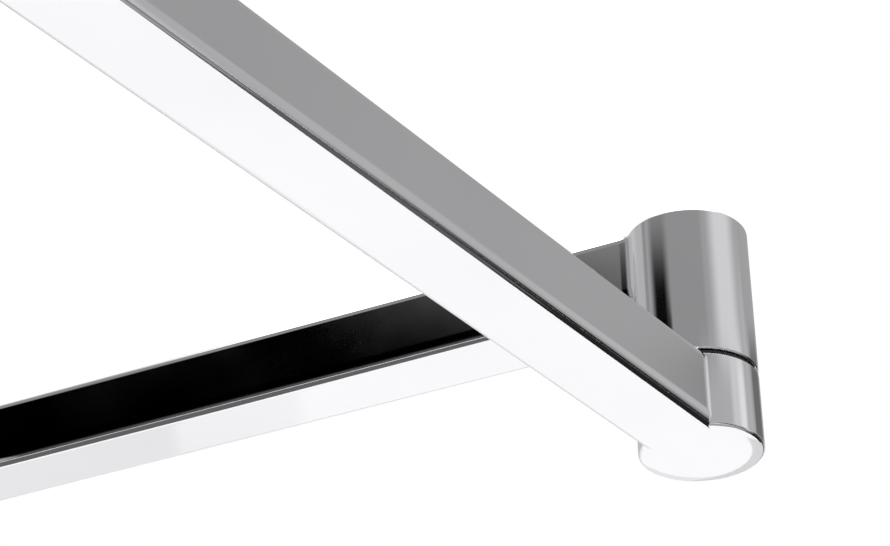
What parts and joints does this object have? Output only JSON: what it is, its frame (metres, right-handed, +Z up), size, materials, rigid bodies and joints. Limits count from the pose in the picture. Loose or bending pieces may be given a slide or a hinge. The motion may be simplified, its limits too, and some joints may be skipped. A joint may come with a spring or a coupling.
{
  "type": "valet stand",
  "caption": "Free-standing valet stand: round weighted base, round post, folding two-link swing arm of square bar with round knuckles, and a swivelling jacket yoke.",
  "frame": {"origin": "on the floor, on the axis of the post", "axes": "+Z up along the post; +X from the post along the lower link; the upper link turns towards +Y"},
  "size_m": [0.704, 0.5784, 1.1065],
  "materials": {
    "chrome": "mirror polished chrome plate",
    "steel": "turned, zinc plated",
    "polymer": "satin black bearing polymer",
    "felt": "pressed black felt"
  },
  "bodies": {
    "stand": {"base_felt": "felt", "base_plate": "chrome", "base_bolt": "steel", "base_washer": "steel", "post_foot": "steel", "post_collar": "chrome", "post_tube": "chrome", "post_head": "chrome", "shoulder_pin": "steel", "shoulder_thrust_washer": "polymer", "shoulder_spring_washer": "steel", "shoulder_retaining_washer": "steel", "shoulder_retaining_screw": "steel"},
    "lower_arm": {"lower_link": "chrome", "shoulder_lower_bush": "polymer", "shoulder_upper_bush": "polymer", "shoulder_cap": "chrome", "elbow_pin": "steel", "elbow_thrust_washer": "polymer", "elbow_spring_washer": "steel", "elbow_retaining_washer": "steel", "elbow_retaining_screw": "steel"},
    "upper_arm": {"upper_link": "chrome", "elbow_lower_bush": "polymer", "elbow_upper_bush": "polymer", "elbow_cap": "chrome", "hanger_socket_bush": "polymer", "hanger_set_screw": "steel", "hanger_thrust_washer": "polymer"},
    "hanger": {"hanger_stem": "chrome", "hanger_yoke": "chrome"}
  },
  "joints": [
    {"name": "shoulder_swing", "type": "hinge", "parent": "stand", "child": "lower_arm", "pos_m": [0, 0, 0.92925], "axis": [0, 0, 1], "range_deg": [-150, 150]},
    {"name": "elbow_swing", "type": "hinge", "parent": "lower_arm", "child": "upper_arm", "pos_m": [0.34, 0, 0.97075], "axis": [0, 0, 1], "range_deg": [-98.7, 81.3]},
    {"name": "hanger_swivel", "type": "hinge", "parent": "upper_arm", "child": "hanger", "pos_m": [0.28857, 0.33609, 1.01225], "axis": [0, 0, 1], "range_deg": [-90, 90]}
  ]
}
